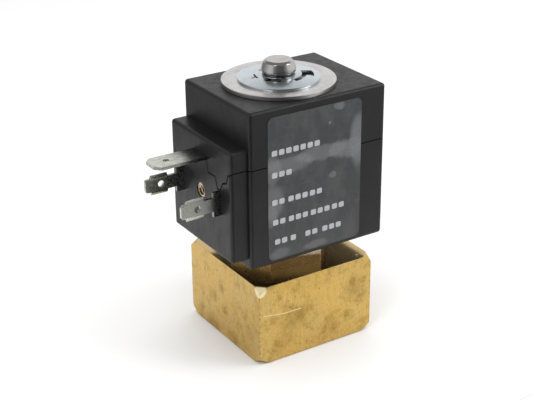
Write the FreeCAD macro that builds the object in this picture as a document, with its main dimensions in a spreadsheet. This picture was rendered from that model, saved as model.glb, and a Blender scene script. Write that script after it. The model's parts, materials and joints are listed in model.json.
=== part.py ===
"""Pad-mounted solenoid valve: brass body, armature tube with plunger, and a coil with a plug interface.

Millimetres. Z points up along the armature tube, the origin is at the centre of the valve body's
underside, the plug interface faces -X and the rating label faces -Y.
"""
import FreeCAD, Part
import math
import os

import Sketcher
from FreeCAD import Placement, Rotation, Vector

doc = FreeCAD.newDocument("SolenoidValve")
sheet = doc.addObject("Spreadsheet::Sheet", "Sizes")
PIECES = []


class Size:
    """A number and the expression it comes from, so that what is built with it follows the sheet."""

    def __init__(self, value, text):
        self.value = value
        self.text = text

    def __add__(self, other):
        other = as_size(other)
        return Size(self.value + other.value, f"({self.text} + {other.text})")

    def __sub__(self, other):
        other = as_size(other)
        return Size(self.value - other.value, f"({self.text} - {other.text})")

    def __mul__(self, other):
        other = as_size(other)
        return Size(self.value * other.value, f"({self.text} * {other.text})")

    def __truediv__(self, other):
        other = as_size(other)
        return Size(self.value / other.value, f"({self.text} / {other.text})")

    def __neg__(self):
        return Size(-self.value, f"(0 - {self.text})")

    def __radd__(self, other):
        return as_size(other) + self

    def __rsub__(self, other):
        return as_size(other) - self

    def __rmul__(self, other):
        return as_size(other) * self


def as_size(number):
    return number if isinstance(number, Size) else Size(float(number), repr(float(number)))


def square_root(number):
    return Size(math.sqrt(number.value), f"sqrt({number.text})")


def lean_angle(run, climb):
    """How far a line leans from upright, in degrees."""
    return Size(math.degrees(math.atan2(run.value, climb.value)), f"atan2({run.text}; {climb.text})")


def size(alias, value):
    """A driving size: one row of the sheet."""
    row = len(sheet.getUsedCells()) // 2 + 1
    sheet.set(f"A{row}", alias.replace("_", " "))
    sheet.set(f"B{row}", str(value))
    sheet.setAlias(f"B{row}", alias)
    return Size(value, f"Sizes.{alias}")


# ---- driving sizes ----------------------------------------------------------------------------
# Valve body, seen from above a square block whose corners are turned down at both faces.
body_side = size("body_side", 32.0)
body_height = size("body_height", 20.3)
corner_cut = size("corner_cut", 1.63)
chamber_floor = size("chamber_floor", 7.5)
nozzle_height = size("nozzle_height", 2.0)
nozzle_radius = size("nozzle_radius", 2.2)
orifice_radius = size("orifice_radius", 0.8)
ring_seat_floor = size("ring_seat_floor", 11.2)
port_offset = size("port_offset", 7.5)
port_radius = size("port_radius", 1.75)
port_depth = size("port_depth", 4.5)
channel_radius = size("channel_radius", 1.2)
port_ring_section = size("port_ring_section", 1.5)
port_ring_radius = size("port_ring_radius", 2.9)
mount_spacing = size("mount_spacing", 22.0)
mount_drill_radius = size("mount_drill_radius", 1.65)
mount_drill_depth = size("mount_drill_depth", 9.0)

# Armature tube, plunger and core.
tube_radius = size("tube_radius", 6.5)
tube_wall = size("tube_wall", 0.4)
tube_flange_width = size("tube_flange_width", 1.5)
tube_flange_thickness = size("tube_flange_thickness", 0.8)
tube_ring_section = size("tube_ring_section", 1.4)
running_gap = size("running_gap", 0.08)
chamber_gap = size("chamber_gap", 0.18)
fit_gap = size("fit_gap", 0.05)
seal_gap = size("seal_gap", 0.02)
plunger_length = size("plunger_length", 31.9)
plunger_chamfer = size("plunger_chamfer", 0.6)
plunger_stroke = size("plunger_stroke", 1.3)
seal_radius = size("seal_radius", 3.2)
seal_thickness = size("seal_thickness", 2.0)
seal_proud = size("seal_proud", 0.5)
flute_width = size("flute_width", 1.4)
flute_depth = size("flute_depth", 0.8)
spring_radius = size("spring_radius", 2.3)
spring_wire = size("spring_wire", 0.6)
spring_turns = size("spring_turns", 5)
spring_bore_gap = size("spring_bore_gap", 0.2)
spring_bore_depth = size("spring_bore_depth", 8.0)
shading_inner = size("shading_inner", 3.9)
shading_width = size("shading_width", 1.2)
shading_depth = size("shading_depth", 1.8)

# Hexagon collar.
collar_flats = size("collar_flats", 22.0)
collar_height = size("collar_height", 4.4)
collar_turn = size("collar_turn", -12.0)
collar_bevel = size("collar_bevel", 0.8)
thread_shoulder = size("thread_shoulder", 1.0)

# Coil: winding and bobbin first, the housing follows from them and its walls.
coil_play = size("coil_play", 0.05)
coil_bore_gap = size("coil_bore_gap", 0.1)
bobbin_length = size("bobbin_length", 28.3)
bobbin_barrel = size("bobbin_barrel", 1.0)
bobbin_flange = size("bobbin_flange", 1.5)
bobbin_rim = size("bobbin_rim", 0.7)
bobbin_flat = size("bobbin_flat", 0.5)
winding_depth = size("winding_depth", 3.4)
tape_thickness = size("tape_thickness", 0.2)
yoke_thickness = size("yoke_thickness", 3.5)
yoke_leg_gap = size("yoke_leg_gap", 2.2)
cavity_gap = size("cavity_gap", 0.1)
side_wall = size("side_wall", 2.4)
back_wall = size("back_wall", 2.4)
front_wall = size("front_wall", 4.6)
end_wall = size("end_wall", 1.45)
housing_bore_gap = size("housing_bore_gap", 0.3)
housing_edge = size("housing_edge", 0.8)
seam_width = size("seam_width", 0.24)
seam_depth = size("seam_depth", 0.5)

# Plug interface on the connector side.
plug_axis_height = size("plug_axis_height", 16.15)
boss_proud = size("boss_proud", 4.4)
boss_inset = size("boss_inset", 1.0)
boss_bottom = size("boss_bottom", 2.35)
boss_height = size("boss_height", 27.2)
seam_above_axis = size("seam_above_axis", 8.5)
blade_spacing = size("blade_spacing", 17.2)
blade_thickness = size("blade_thickness", 0.8)
blade_width = size("blade_width", 3.3)
blade_root_width = size("blade_root_width", 6.0)
blade_root_proud = size("blade_root_proud", 1.9)
blade_neck = size("blade_neck", 2.4)
blade_reach = size("blade_reach", 10.1)
blade_chamfer = size("blade_chamfer", 0.4)
blade_hole_radius = size("blade_hole_radius", 0.8)
blade_hole_back = size("blade_hole_back", 4.1)
blade_root_buried = size("blade_root_buried", 6.5)
blade_tail_buried = size("blade_tail_buried", 11.0)
flap_length = size("flap_length", 4.4)
flap_rise = size("flap_rise", 0.9)
flap_lean = size("flap_lean", 0.45)
earth_rise = size("earth_rise", 9.0)
earth_width = size("earth_width", 6.3)
earth_reach = size("earth_reach", 12.8)
earth_chamfer = size("earth_chamfer", 1.4)
earth_hole_radius = size("earth_hole_radius", 0.7)
earth_hole_back = size("earth_hole_back", 4.1)
earth_strap_width = size("earth_strap_width", 4.0)
lead_radius = size("lead_radius", 0.25)
screw_hole_radius = size("screw_hole_radius", 1.8)
insert_recess = size("insert_recess", 0.2)
insert_length = size("insert_length", 7.0)
insert_radius = size("insert_radius", 2.5)
insert_drill_radius = size("insert_drill_radius", 1.25)

# Top of the coil.
washer_radius = size("washer_radius", 13.4)
washer_thickness = size("washer_thickness", 1.0)
stud_radius = size("stud_radius", 4.05)
stud_neck_radius = size("stud_neck_radius", 3.95)
stud_groove_radius = size("stud_groove_radius", 3.3)
stud_groove_height = size("stud_groove_height", 0.9)
stud_head_height = size("stud_head_height", 3.05)
stud_top_radius = size("stud_top_radius", 3.0)
stud_crown_radius = size("stud_crown_radius", 3.55)
stud_crown = size("stud_crown", 0.5)
stud_band = size("stud_band", 1.0)
clip_radius = size("clip_radius", 9.7)
clip_thickness = size("clip_thickness", 0.5)
clip_dish = size("clip_dish", 0.7)

# Rating label.
label_corner = size("label_corner", 1.5)
label_thickness = size("label_thickness", 0.12)
label_front_margin = size("label_front_margin", 4.7)
label_back_margin = size("label_back_margin", 6.9)
label_bottom_margin = size("label_bottom_margin", 1.15)
label_top_margin = size("label_top_margin", 1.95)
doc.recompute()

# ---- sizes that follow --------------------------------------------------------------------------
NO_INSET = 0.0
ROOT_TWO = math.sqrt(2)
ROOT_THREE = math.sqrt(3)

nozzle_top = chamber_floor + nozzle_height
plunger_radius = tube_radius - tube_wall - running_gap
chamber_radius = plunger_radius + chamber_gap
core_radius = tube_radius - tube_wall - fit_gap
flange_radius = tube_radius + tube_flange_width
ring_seat_radius = flange_radius + fit_gap * 4
flange_bottom = ring_seat_floor + tube_ring_section
flange_top = flange_bottom + tube_flange_thickness
thread_radius = flange_radius + thread_shoulder
seal_bottom = nozzle_top + seal_gap
plunger_bottom = seal_bottom + seal_proud
plunger_top = plunger_bottom + plunger_length
core_bottom = plunger_top + plunger_stroke
spring_bore_floor = plunger_top - spring_bore_depth
spring_bore_radius = spring_radius + spring_bore_gap

collar_top = body_height + collar_height
coil_floor = collar_top + coil_play
cavity_floor = coil_floor + end_wall
bobbin_bottom = cavity_floor + yoke_thickness
bobbin_top = bobbin_bottom + bobbin_length
cavity_top = bobbin_top + yoke_thickness
coil_top = cavity_top + end_wall
bobbin_bore = tube_radius + coil_bore_gap
barrel_radius = bobbin_bore + bobbin_barrel
winding_radius = barrel_radius + winding_depth
tape_radius = winding_radius + tape_thickness
rim_radius = tape_radius + bobbin_rim
cavity_half = rim_radius + cavity_gap * 2
yoke_half = rim_radius + cavity_gap
yoke_hole = bobbin_bore + cavity_gap
housing_bore = bobbin_bore + housing_bore_gap
leg_inner = rim_radius + yoke_leg_gap
leg_outer = leg_inner + yoke_thickness
cavity_back = leg_outer + cavity_gap
housing_back = cavity_back + back_wall
flat_front = rim_radius - bobbin_flat
yoke_front = flat_front + cavity_gap
strap_front = yoke_front + blade_thickness
cavity_front = strap_front + cavity_gap * 2
housing_front = cavity_front + front_wall
boss_front = housing_front + boss_proud
housing_half = cavity_half + side_wall
boss_half = housing_half - boss_inset

plug_axis = coil_floor + plug_axis_height
seam_level = plug_axis + seam_above_axis
boss_floor = coil_floor + boss_bottom
boss_top = boss_floor + boss_height
blade_line = blade_spacing / 2
earth_level = plug_axis + earth_rise

washer_bottom = coil_top + coil_play
washer_top = washer_bottom + washer_thickness
groove_bottom = washer_top + clip_dish - clip_thickness * 0.2
groove_top = groove_bottom + stud_groove_height
stud_top = groove_top + stud_head_height
tube_top = washer_bottom - fit_gap * 8

# The seam on the connector side: how far each corner lies outside the power blade's line, and how
# far above the plug's axis. It goes round the power blade's root and up to the earth blade.
SEAM_STEPS = [(3.8, 7.9), (3.1, 5.9), (1.4, 5.2), (0.3, 3.15), (-0.85, 3.15), (-1.9, 5.8)]
EARTH_STEPS = [(0.35, 5.8), (-0.05, 8.4)]

# The clip's slots: inner and outer radius, first and last angle.
CLIP_SLOTS = [
    (4.3, 5.9, -159.0, -116.0),
    (5.4, 6.5, -85.0, -40.0),
    (5.4, 8.2, -40.0, -11.0),
    (5.5, 5.9, 152.0, 181.0),
    (5.9, 6.8, 170.0, 174.0),
    (4.6, 5.1, 115.0, 126.0),
    (7.6, 8.0, 28.0, 40.0),
]


# ---- helpers ------------------------------------------------------------------------------------
def bind(thing, prop, number):
    """Ties a property to the sheet through the number's expression."""
    thing.setExpression(prop, as_size(number).text)


def new_body(name):
    return doc.addObject("PartDesign::Body", name)


def origin_item(body, role):
    return next(item for item in body.Origin.OriginFeatures if item.Role == role)


def sketch_on(body, name, role, offset=0.0):
    """An empty sketch on one of the body's own planes, moved along that plane's normal."""
    sketch = body.newObject("Sketcher::SketchObject", name)
    sketch.AttachmentSupport = [(origin_item(body, role), "")]
    sketch.MapMode = "FlatFace"
    bind(sketch, "AttachmentOffset.Base.z", offset)
    return sketch


def hold(sketch, kind, item, point, number):
    index = sketch.addConstraint(Sketcher.Constraint(kind, -1, 1, item, point, number.value))
    sketch.setExpression(f"Constraints[{index}]", number.text)


def draw_outline(sketch, points):
    """A closed run of straight lines; every corner is held by its own two sizes."""
    corners = [(as_size(across), as_size(up)) for across, up in points]
    first = sketch.GeometryCount
    for start, end in zip(corners, corners[1:] + corners[:1]):
        line = Part.LineSegment(Vector(start[0].value, start[1].value, 0), Vector(end[0].value, end[1].value, 0))
        sketch.addGeometry(line, False)
    for index, (across, up) in enumerate(corners):
        before = first + (index - 1) % len(corners)
        sketch.addConstraint(Sketcher.Constraint("Coincident", before, 2, first + index, 1))
        hold(sketch, "DistanceX", first + index, 1, across)
        hold(sketch, "DistanceY", first + index, 1, up)


def draw_circle(sketch, across, up, radius):
    across, up, radius = as_size(across), as_size(up), as_size(radius)
    circle = Part.Circle(Vector(across.value, up.value, 0), Vector(0, 0, 1), radius.value)
    item = sketch.addGeometry(circle, False)
    hold(sketch, "DistanceX", item, 3, across)
    hold(sketch, "DistanceY", item, 3, up)
    index = sketch.addConstraint(Sketcher.Constraint("Radius", item, radius.value))
    sketch.setExpression(f"Constraints[{index}]", radius.text)


def spin(body, name, points, kind="PartDesign::Revolution"):
    """Turns a half section, given as radius and height, about the Z axis."""
    sketch = sketch_on(body, name + "Section", "XZ_Plane")
    draw_outline(sketch, points)
    feature = body.newObject(kind, name)
    feature.Profile = sketch
    feature.ReferenceAxis = (sketch, ["V_Axis"])
    feature.Angle = 360
    return feature


def ring_section(inner, outer, bottom, top):
    return [(inner, bottom), (outer, bottom), (outer, top), (inner, top)]


def rectangle(left, right, bottom, top):
    return [(left, bottom), (right, bottom), (right, top), (left, top)]


def pad(body, sketch, name, length, backwards=False, both=False):
    feature = body.newObject("PartDesign::Pad", name)
    feature.Profile = sketch
    feature.Reversed = backwards
    feature.SideType = "Symmetric" if both else "One side"
    bind(feature, "Length", length)
    return feature


def pocket(body, sketch, name, length, backwards=False, both=False):
    feature = body.newObject("PartDesign::Pocket", name)
    feature.Profile = sketch
    feature.Reversed = backwards
    feature.SideType = "Symmetric" if both else "One side"
    bind(feature, "Length", length)
    return feature


def add_block(body, name, low, high, kind="PartDesign::AdditiveBox"):
    """A box feature between two corners."""
    feature = body.newObject(kind, name)
    for axis, side, start, end in zip("xyz", ("Length", "Width", "Height"), low, high):
        bind(feature, side, as_size(end) - start)
        bind(feature, f"Placement.Base.{axis}", start)
    return feature


def add_rod(body, name, radius, bottom, top, kind="PartDesign::AdditiveCylinder"):
    """An upright cylinder feature on the Z axis."""
    feature = body.newObject(kind, name)
    bind(feature, "Radius", radius)
    bind(feature, "Height", as_size(top) - bottom)
    bind(feature, "Placement.Base.z", bottom)
    return feature


def round_edges(body, base, name, radius, wanted):
    """Rounds those edges of the base whose middle passes the test."""
    doc.recompute()
    edges = []
    for index, edge in enumerate(base.Shape.Edges, 1):
        middle = edge.valueAt((edge.FirstParameter + edge.LastParameter) / 2)
        if wanted(edge, middle):
            edges.append(f"Edge{index}")
    feature = body.newObject("PartDesign::Fillet", name)
    feature.Base = (base, edges)
    bind(feature, "Radius", radius)
    return feature


def repeat_round(body, feature, name, count):
    """Repeats a feature evenly about the Z axis."""
    pattern = body.newObject("PartDesign::PolarPattern", name)
    pattern.Originals = [feature]
    pattern.Axis = (origin_item(body, "Z_Axis"), [""])
    pattern.Angle = 360
    pattern.Occurrences = count
    body.Tip = pattern
    return pattern


def combine(kind, name, **links):
    feature = doc.addObject(kind, name)
    for prop, value in links.items():
        setattr(feature, prop, value)
    return feature


def keep(label, thing):
    """Marks a finished sub-part: its label is its file's name."""
    thing.Label = label
    PIECES.append(thing)


# ---- valve body and what is screwed into it -----------------------------------------------------
def make_valve_body():
    body = new_body("ValveBody")
    outline = sketch_on(body, "BodyOutline", "XY_Plane")
    half = body_side / 2
    draw_outline(outline, rectangle(-half, half, -half, half))
    pad(body, outline, "Block", body_height)

    face_radius = half * ROOT_TWO - corner_cut
    beyond = corner_cut * 2
    spin(body, "TopCorners", [(face_radius, body_height), (face_radius + beyond, body_height),
                              (face_radius + beyond, body_height - beyond)], "PartDesign::Groove")
    spin(body, "BottomCorners", [(face_radius, 0), (face_radius + beyond, 0),
                                 (face_radius + beyond, beyond)], "PartDesign::Groove")
    spin(body, "Chamber", [
        (nozzle_radius, chamber_floor), (chamber_radius, chamber_floor),
        (chamber_radius, ring_seat_floor), (ring_seat_radius, ring_seat_floor),
        (ring_seat_radius, flange_top - fit_gap * 4), (thread_radius + fit_gap, flange_top - fit_gap * 4),
        (thread_radius + fit_gap, body_height + 1), (0, body_height + 1),
        (0, nozzle_top), (nozzle_radius - corner_cut / 4, nozzle_top),
    ], "PartDesign::Groove")
    add_rod(body, "Orifice", orifice_radius, port_depth, nozzle_top + 1, "PartDesign::SubtractiveCylinder")

    for name, side in (("Inlet", -1), ("Outlet", 1)):
        port = sketch_on(body, name + "Circle", "XY_Plane")
        draw_circle(port, port_offset * side, 0, port_radius)
        pocket(body, port, name + "Port", port_depth, backwards=True)
        seat = sketch_on(body, name + "SeatCircle", "XY_Plane")
        draw_circle(seat, port_offset * side, 0, port_ring_radius + port_ring_section / 2 + fit_gap)
        pocket(body, seat, name + "RingSeat", port_ring_section, backwards=True)

    # The outlet runs level to the orifice, the inlet slopes up into the chamber beside the nozzle.
    outlet = sketch_on(body, "OutletChannelCircle", "YZ_Plane")
    draw_circle(outlet, 0, port_depth, channel_radius)
    pocket(body, outlet, "OutletChannel", port_offset, backwards=True)
    inlet_run = port_offset - chamber_radius + channel_radius * 1.25
    inlet_climb = chamber_floor - port_depth + channel_radius
    inlet = body.newObject("PartDesign::SubtractiveCylinder", "InletChannel")
    lean = lean_angle(inlet_run, inlet_climb)
    inlet.Placement = Placement(Vector(0, 0, 0), Rotation(Vector(0, 1, 0), lean.value))
    bind(inlet, "Radius", channel_radius)
    bind(inlet, "Height", inlet_climb * 4 / 3)
    bind(inlet, "Placement.Base.x", -port_offset)
    bind(inlet, "Placement.Base.z", port_depth - channel_radius)
    bind(inlet, "Placement.Rotation.Angle", lean)

    drill = sketch_on(body, "MountCircle", "XY_Plane")
    draw_circle(drill, mount_spacing / 2, mount_spacing / 2, mount_drill_radius)
    hole = pocket(body, drill, "MountHole", mount_drill_depth, backwards=True)
    doc.recompute()
    repeat_round(body, hole, "MountHoles", 4)
    keep("valve_body", body)


def make_port_rings():
    rings = []
    for name, side in (("InletRing", -1), ("OutletRing", 1)):
        ring = doc.addObject("Part::Torus", name)
        bind(ring, "Radius1", port_ring_radius)
        bind(ring, "Radius2", port_ring_section / 2 - fit_gap / 2)
        bind(ring, "Placement.Base.x", port_offset * side)
        bind(ring, "Placement.Base.z", port_ring_section / 2)
        rings.append(ring)
    keep("port_o_rings", combine("Part::Compound", "PortRings", Links=rings))


def make_hex_collar():
    body = new_body("HexCollar")
    outline = sketch_on(body, "Hexagon", "XY_Plane", body_height)
    bind(outline, "AttachmentOffset.Rotation.Angle", collar_turn)
    flat = collar_flats / 2
    corner = collar_flats / ROOT_THREE
    draw_outline(outline, [(corner, 0), (corner / 2, flat), (-corner / 2, flat),
                           (-corner, 0), (-corner / 2, -flat), (corner / 2, -flat)])
    pad(body, outline, "Head", collar_height)
    bevel_start = flat + collar_bevel / 4
    spin(body, "Bevel", [(bevel_start, collar_top), (corner + 1, collar_top),
                         (corner + 1, collar_top - (corner + 1 - bevel_start) / 2)], "PartDesign::Groove")
    add_rod(body, "Spigot", thread_radius, flange_top, body_height)
    add_rod(body, "Bore", tube_radius + fit_gap, flange_top - 1, collar_top + 1,
            "PartDesign::SubtractiveCylinder")
    keep("hex_collar", body)


def make_armature_tube():
    body = new_body("ArmatureTube")
    inner = tube_radius - tube_wall
    spin(body, "Section", [(inner, flange_bottom), (flange_radius, flange_bottom),
                           (flange_radius, flange_top), (tube_radius, flange_top),
                           (tube_radius, tube_top), (inner, tube_top)])
    keep("armature_tube", body)


def make_tube_ring():
    ring = doc.addObject("Part::Torus", "TubeRing")
    bind(ring, "Radius1", (chamber_radius + ring_seat_radius) / 2)
    bind(ring, "Radius2", tube_ring_section / 2 - fit_gap / 2)
    bind(ring, "Placement.Base.z", ring_seat_floor + tube_ring_section / 2)
    keep("tube_o_ring", ring)


def make_fixed_core():
    body = new_body("FixedCore")
    chamfer = (stud_radius - stud_groove_radius) / 2
    spin(body, "Core", [
        (0, core_bottom), (core_radius, core_bottom), (core_radius, tube_top),
        (stud_neck_radius, tube_top), (stud_neck_radius, groove_bottom),
        (stud_groove_radius, groove_bottom), (stud_groove_radius, groove_top),
        (stud_radius - chamfer, groove_top), (stud_radius, groove_top + chamfer),
        (stud_radius, groove_top + stud_band), (stud_crown_radius, stud_top - stud_crown),
        (stud_top_radius, stud_top), (0, stud_top),
    ])
    spin(body, "RingGroove", ring_section(shading_inner, shading_inner + shading_width,
                                          core_bottom - 1, core_bottom + shading_depth), "PartDesign::Groove")
    keep("fixed_core", body)


def make_shading_ring():
    body = new_body("ShadingRing")
    spin(body, "Section", ring_section(shading_inner + fit_gap, shading_inner + shading_width - fit_gap,
                                       core_bottom, core_bottom + shading_depth))
    keep("shading_ring", body)


# ---- moving parts inside the tube ---------------------------------------------------------------
def make_plunger():
    body = new_body("Plunger")
    seal_top = seal_bottom + seal_thickness
    bevel = plunger_chamfer
    spin(body, "Section", [
        (0, seal_top), (seal_radius + fit_gap, seal_top), (seal_radius + fit_gap, plunger_bottom),
        (plunger_radius - bevel, plunger_bottom), (plunger_radius, plunger_bottom + bevel),
        (plunger_radius, plunger_top - bevel), (plunger_radius - bevel, plunger_top),
        (spring_bore_radius, plunger_top), (spring_bore_radius, spring_bore_floor), (0, spring_bore_floor),
    ])
    flute = add_block(body, "Flute", (plunger_radius - flute_depth, -flute_width / 2, plunger_bottom - 1),
                      (plunger_radius + 1, flute_width / 2, plunger_top + 1), "PartDesign::SubtractiveBox")
    doc.recompute()
    repeat_round(body, flute, "Flutes", 4)
    keep("plunger", body)


def make_plunger_seal():
    body = new_body("PlungerSeal")
    add_rod(body, "Disc", seal_radius, seal_bottom, seal_bottom + seal_thickness)
    keep("plunger_seal", body)


def make_return_spring():
    body = new_body("ReturnSpring")
    section = sketch_on(body, "Wire", "XZ_Plane")
    wire = spring_wire / 2
    bottom = spring_bore_floor + wire + seal_gap
    draw_circle(section, spring_radius - wire, bottom, wire)
    coil = body.newObject("PartDesign::AdditiveHelix", "Coil")
    coil.Profile = section
    coil.ReferenceAxis = (section, ["V_Axis"])
    coil.Mode = 2
    bind(coil, "Height", core_bottom - bottom - wire - seal_gap)
    bind(coil, "Turns", spring_turns)
    keep("return_spring", body)


# ---- coil ---------------------------------------------------------------------------------------
def make_bobbin():
    body = new_body("Bobbin")
    inner_top = bobbin_top - bobbin_flange
    inner_bottom = bobbin_bottom + bobbin_flange
    spin(body, "Section", [
        (bobbin_bore, bobbin_bottom), (rim_radius, bobbin_bottom), (rim_radius, inner_bottom),
        (barrel_radius, inner_bottom), (barrel_radius, inner_top), (rim_radius, inner_top),
        (rim_radius, bobbin_top), (bobbin_bore, bobbin_top),
    ])
    add_block(body, "FrontFlat", (-rim_radius - 1, -rim_radius, bobbin_bottom - 1),
              (-flat_front, rim_radius, bobbin_top + 1), "PartDesign::SubtractiveBox")
    keep("bobbin", body)


def make_winding():
    inner_top = bobbin_top - bobbin_flange
    inner_bottom = bobbin_bottom + bobbin_flange
    for label, name, inner, outer in (("winding", "Winding", barrel_radius, winding_radius),
                                      ("winding_tape", "WindingTape", winding_radius, tape_radius)):
        body = new_body(name)
        spin(body, "Section", ring_section(inner, outer, inner_bottom, inner_top))
        keep(label, body)


def make_yoke():
    body = new_body("Yoke")
    outline = sketch_on(body, "Bend", "XZ_Plane")
    draw_outline(outline, [
        (-yoke_front, cavity_floor), (leg_outer, cavity_floor), (leg_outer, cavity_top),
        (-yoke_front, cavity_top), (-yoke_front, bobbin_top), (leg_inner, bobbin_top),
        (leg_inner, bobbin_bottom), (-yoke_front, bobbin_bottom),
    ])
    pad(body, outline, "Strip", yoke_half * 2, both=True)
    add_rod(body, "TubeHoles", yoke_hole, cavity_floor - 1, cavity_top + 1, "PartDesign::SubtractiveCylinder")
    keep("yoke_bracket", body)


def power_blade(label, name, side):
    """An upright blade: buried root and tail, narrow neck, and two flaps folded towards the middle."""
    body = new_body(name)
    half, root_half = blade_width / 2, blade_root_width / 2
    root_tip = boss_front + blade_root_proud
    tip = boss_front + blade_reach
    tail = boss_front - blade_tail_buried
    root_end = boss_front - blade_root_buried
    outline = sketch_on(body, "Outline", "XZ_Plane", blade_line * -side)
    draw_outline(outline, [
        (-tail, plug_axis - half), (-tail, plug_axis + half), (-root_end, plug_axis + half),
        (-root_end, plug_axis + root_half), (-root_tip, plug_axis + root_half),
        (-root_tip, plug_axis + half), (-tip + blade_chamfer, plug_axis + half),
        (-tip, plug_axis + half - blade_chamfer), (-tip, plug_axis - half + blade_chamfer),
        (-tip + blade_chamfer, plug_axis - half), (-root_tip, plug_axis - half),
        (-root_tip, plug_axis - root_half), (-root_end, plug_axis - root_half),
        (-root_end, plug_axis - half),
    ])
    pad(body, outline, "Strip", blade_thickness, both=True)
    outer = (blade_line + blade_thickness / 2) * side
    inner = (blade_line - blade_thickness / 2) * side
    for flap, up in (("UpperFlap", 1), ("LowerFlap", -1)):
        section = sketch_on(body, flap + "Section", "YZ_Plane", -(root_tip + blade_neck))
        edge = plug_axis + half * up
        draw_outline(section, [
            (outer, edge), (outer - flap_lean * side, edge + flap_rise * up),
            (inner - flap_lean * side / 2, edge + flap_rise * up / 5), (inner, edge - flap_rise * up / 3),
            (outer, edge - flap_rise * up / 3),
        ])
        pad(body, section, flap, flap_length, backwards=True)
    hole = sketch_on(body, "HoleCircle", "XZ_Plane", blade_line * -side)
    draw_circle(hole, -(tip - blade_hole_back), plug_axis, blade_hole_radius)
    pocket(body, hole, "Hole", blade_thickness * 2, both=True)
    keep(label, body)
    return body


def make_earth_blade():
    """A flat blade over the plug's axis; behind the wall its strap turns up against the yoke."""
    body = new_body("EarthBlade")
    half, strap_half = earth_width / 2, earth_strap_width / 2
    tip = boss_front + earth_reach
    root_end = boss_front - blade_root_buried
    outline = sketch_on(body, "Outline", "XY_Plane", earth_level - blade_thickness / 2)
    draw_outline(outline, [
        (-yoke_front, -strap_half), (-yoke_front, strap_half), (-root_end, strap_half), (-root_end, half),
        (-tip + earth_chamfer, half), (-tip, half - earth_chamfer), (-tip, -half + earth_chamfer),
        (-tip + earth_chamfer, -half), (-root_end, -half), (-root_end, -strap_half),
    ])
    pad(body, outline, "Strip", blade_thickness)
    add_block(body, "Strap", (-strap_front, -strap_half, earth_level), (-yoke_front, strap_half, cavity_top))
    hole = sketch_on(body, "HoleCircle", "XY_Plane", earth_level)
    draw_circle(hole, -(tip - earth_hole_back), 0, earth_hole_radius)
    pocket(body, hole, "Hole", blade_thickness * 2, both=True)
    keep("terminal_earth", body)
    return body


def make_leads():
    """Two wires from the taped winding to the power blades' tails, each soldered along its tail."""
    leads = []
    reach = blade_line - blade_thickness / 2 - lead_radius
    inner_side = reach - lead_radius
    tape_front = square_root(tape_radius * tape_radius - inner_side * inner_side) + fit_gap * 2
    for name, side in (("LineLead", -1), ("NeutralLead", 1)):
        lead = doc.addObject("Part::Cylinder", name)
        lead.Placement = Placement(Vector(0, 0, 0), Rotation(Vector(0, 1, 0), 90))
        bind(lead, "Radius", lead_radius)
        bind(lead, "Height", strap_front - tape_front)
        bind(lead, "Placement.Base.x", -strap_front)
        bind(lead, "Placement.Base.y", reach * side)
        bind(lead, "Placement.Base.z", plug_axis)
        leads.append(lead)
    keep("winding_leads", combine("Part::Compound", "Leads", Links=leads))


def make_insert():
    body = new_body("ScrewInsert")
    face = boss_front - insert_recess
    ring = sketch_on(body, "Ring", "YZ_Plane", -face)
    draw_circle(ring, 0, plug_axis, insert_radius)
    draw_circle(ring, 0, plug_axis, insert_drill_radius)
    pad(body, ring, "Bush", insert_length)
    keep("connector_screw_insert", body)


# ---- coil housing -------------------------------------------------------------------------------
def coil_form(name, inset):
    """The coil's outer form: the block and the boss that carries the plug."""
    body = new_body(name)
    block = add_block(body, name + "Block", (-housing_front + inset, -housing_half + inset, coil_floor + inset),
                      (housing_back - inset, housing_half - inset, coil_top - inset))
    if inset is not NO_INSET:
        add_block(body, name + "Boss", (-boss_front + inset, -boss_half + inset, boss_floor + inset),
                  (0, boss_half - inset, boss_top - inset))
        return body
    round_edges(body, block, name + "BlockEdges", housing_edge, lambda edge, middle: True)
    boss = add_block(body, name + "Boss", (-boss_front, -boss_half, boss_floor), (0, boss_half, boss_top))
    root = -(housing_front.value + boss_proud.value * 0.25)
    round_edges(body, boss, name + "BossEdges", housing_edge, lambda edge, middle: middle.x < root)
    return body


def above_seam(name, lift):
    """Everything above the seam, which is level round the block and stepped across the boss."""
    body = new_body(name)
    wide = housing_half + 5
    high = coil_top + 5
    outer = [(blade_line + out, plug_axis + up + lift) for out, up in SEAM_STEPS]
    outer += [(earth_width / 2 + out, plug_axis + up + lift) for out, up in EARTH_STEPS]
    inner = earth_width / 2 - 0.15
    right = [(wide, seam_level + lift), (boss_half, seam_level + lift)] + outer + [(inner, earth_level + lift)]
    left = [(-across, up) for across, up in reversed(right)]
    steps = sketch_on(body, name + "Steps", "YZ_Plane", -housing_front)
    draw_outline(steps, [(-wide, high), (wide, high)] + right + left)
    pad(body, steps, name + "Front", boss_proud + 5, backwards=True)
    add_block(body, name + "Back", (-housing_front, -wide, seam_level + lift), (housing_back + 5, wide, high))
    return body


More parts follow.
